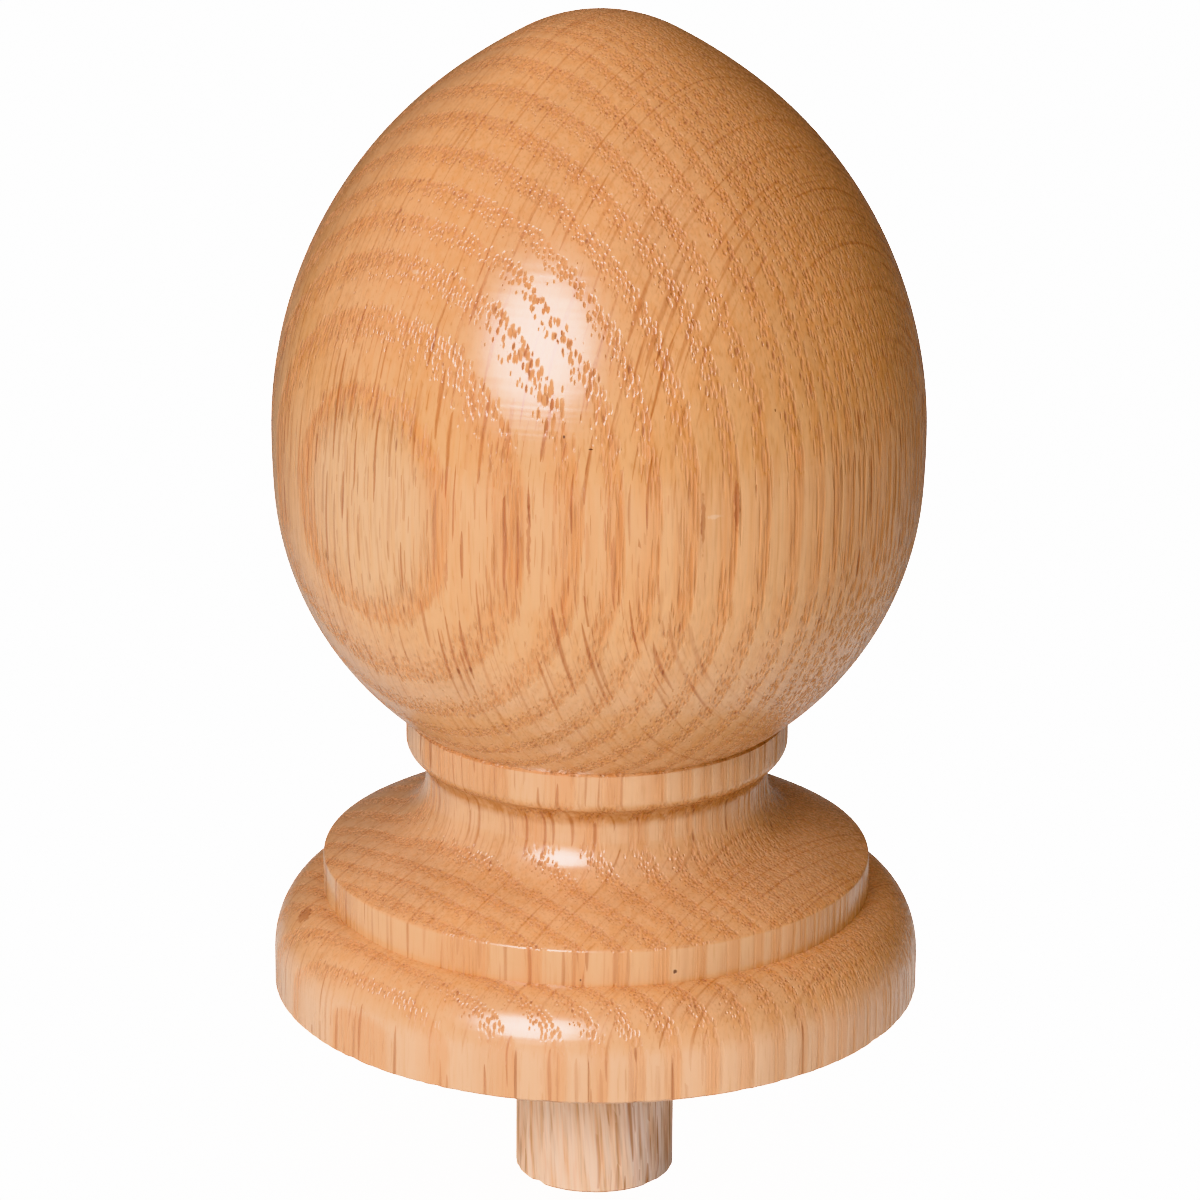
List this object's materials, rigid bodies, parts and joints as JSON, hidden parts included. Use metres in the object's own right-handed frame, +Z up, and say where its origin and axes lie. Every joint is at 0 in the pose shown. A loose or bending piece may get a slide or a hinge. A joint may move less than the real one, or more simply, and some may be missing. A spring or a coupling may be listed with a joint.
{
  "type": "turned wooden newel post finial",
  "caption": "Egg-shaped turned hardwood finial on a collar and a ringed round base, with a plain dowel under it that pins it to the top of a post.",
  "frame": {"origin": "centre of the flat lower end of the dowel, on the turning axis, which is what the finial stands on when it isn't fitted to a post", "axes": "+Z up along the turning axis; +Y away from the viewer of the picture; +X to the viewer's right"},
  "size_m": [0.0768, 0.0768, 0.1434],
  "materials": {
    "lacquered_oak": "satin to gloss clear lacquer over open-grained red oak",
    "bare_oak": "bare matt oak, unlacquered"
  },
  "bodies": {
    "root": {"finial_body": "lacquered_oak", "dowel": "bare_oak"}
  },
  "joints": []
}
